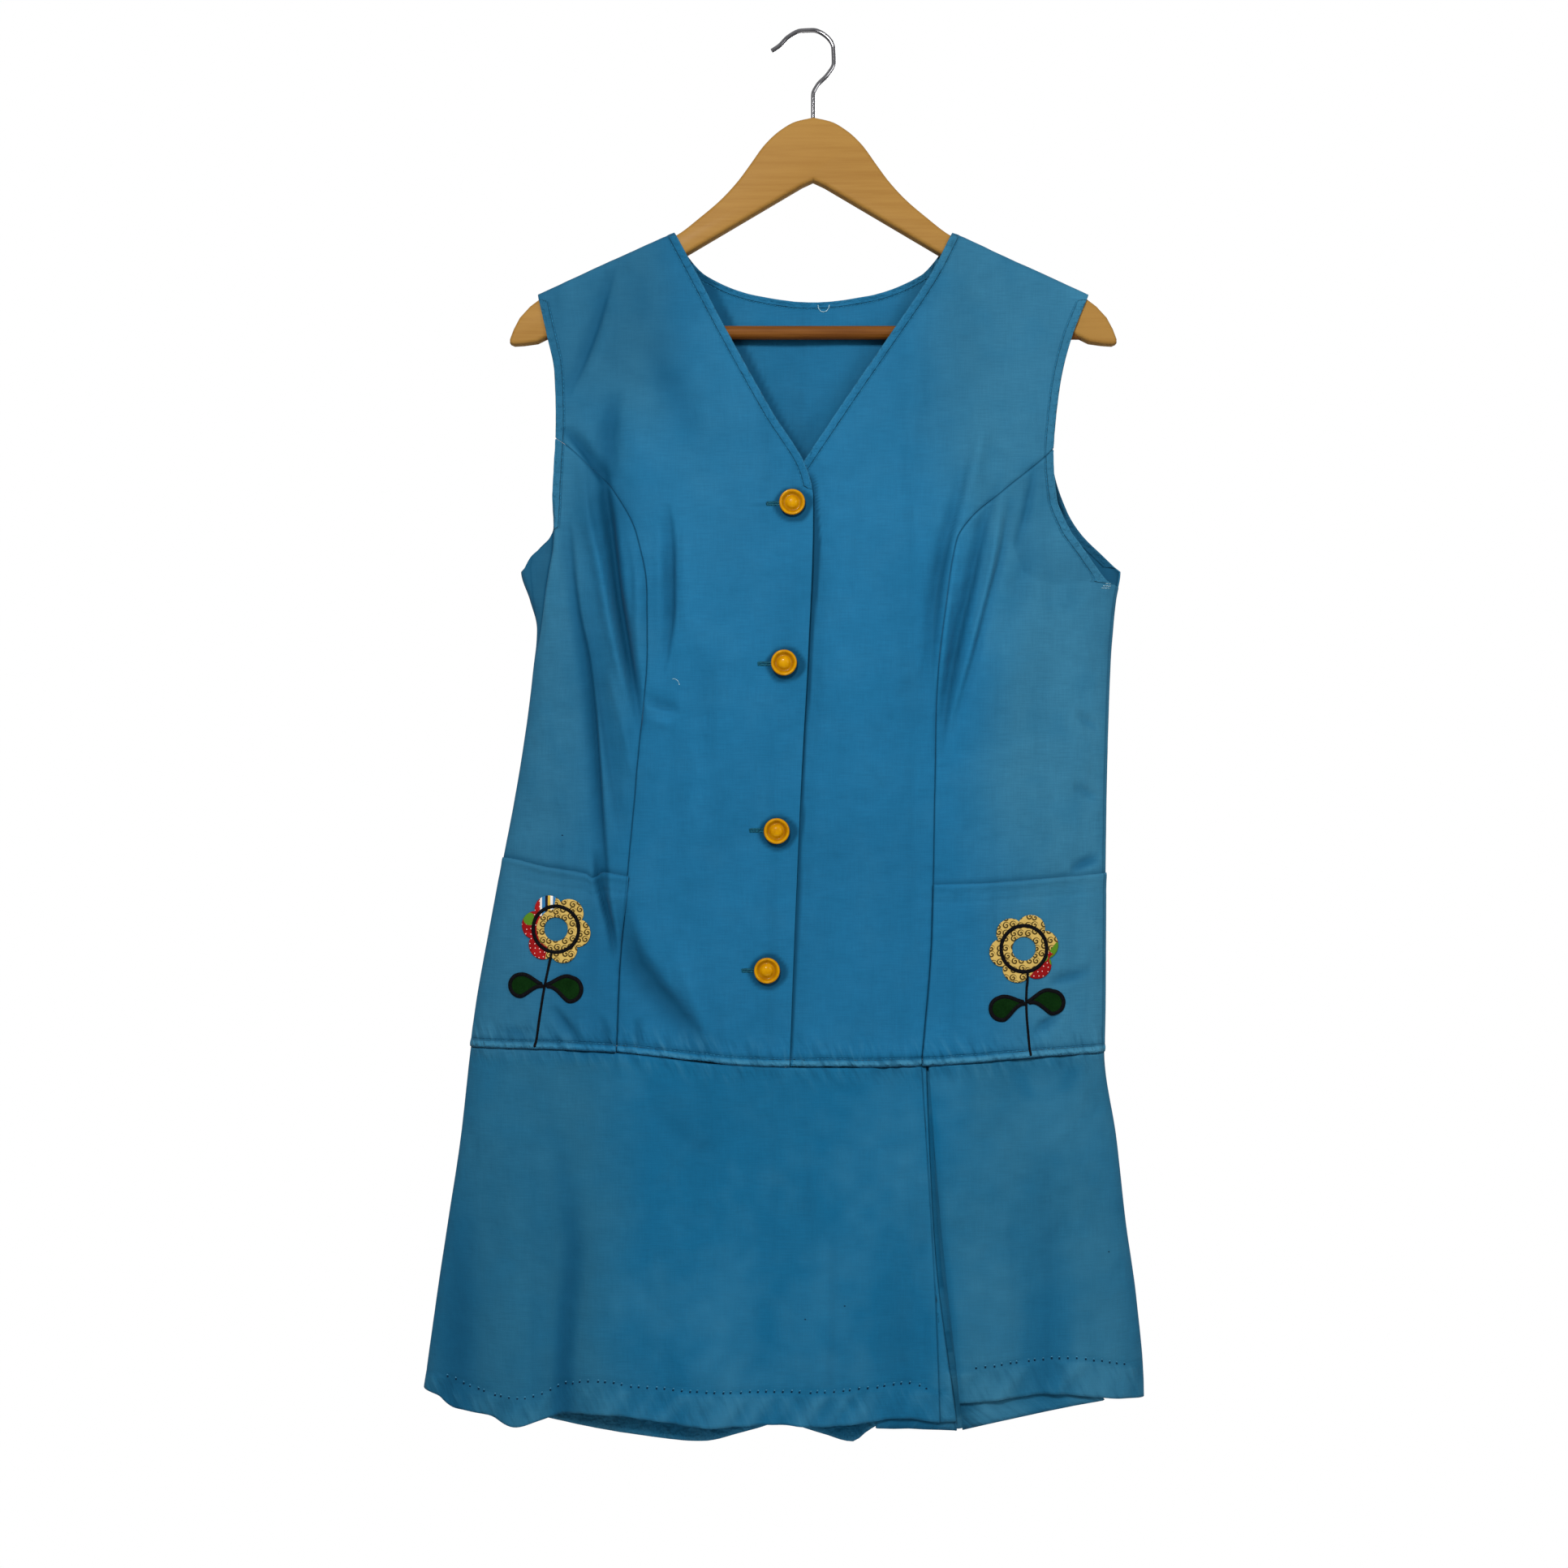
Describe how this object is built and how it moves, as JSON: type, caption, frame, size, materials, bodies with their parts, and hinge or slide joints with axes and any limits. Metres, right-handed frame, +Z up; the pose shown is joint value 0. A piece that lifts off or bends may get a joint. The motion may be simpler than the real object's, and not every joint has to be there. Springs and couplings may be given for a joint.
{
  "type": "playsuit on a hanger",
  "caption": "Sleeveless button-front playsuit with an apron skirt over shorts, appliqued patch pockets and a side pleat, hanging flat on a wooden hanger.",
  "frame": {"origin": "inside of the top of the hanger's hook, where a rail or a nail holds it", "axes": "+X to the wearer's left, -Y the front of the garment, +Z up"},
  "size_m": [0.5214, 0.0528, 1.0211],
  "materials": {
    "blue_cloth": "plain weave, mid blue",
    "printed_petal_cloth": "printed cotton",
    "green_leaf_cloth": "matt, dark green",
    "yellow_button_plastic": "glossy golden yellow",
    "pale_hanger_wood": "varnished, pale",
    "brown_bar_wood": "varnished, orange brown",
    "bright_hook_steel": "bright plated wire"
  },
  "bodies": {
    "root": {"back_bodice": "blue_cloth", "front_centre_right": "blue_cloth", "front_centre_left": "blue_cloth", "front_side_right": "blue_cloth", "front_side_left": "blue_cloth", "pocket_right": "blue_cloth", "pocket_left": "blue_cloth", "skirt_main": "blue_cloth", "skirt_side": "blue_cloth", "skirt_pleat": "blue_cloth", "shorts_front_right": "blue_cloth", "shorts_front_left": "blue_cloth", "shorts_back_right": "blue_cloth", "shorts_back_left": "blue_cloth", "flower_right": "printed_petal_cloth", "flower_left": "printed_petal_cloth", "leaf_right_outer": "green_leaf_cloth", "leaf_right_inner": "green_leaf_cloth", "leaf_left_inner": "green_leaf_cloth", "leaf_left_outer": "green_leaf_cloth", "button_1": "yellow_button_plastic", "button_2": "yellow_button_plastic", "button_3": "yellow_button_plastic", "button_4": "yellow_button_plastic", "hanger_body": "pale_hanger_wood", "hanger_bar": "brown_bar_wood", "hanger_hook": "bright_hook_steel"}
  },
  "joints": []
}
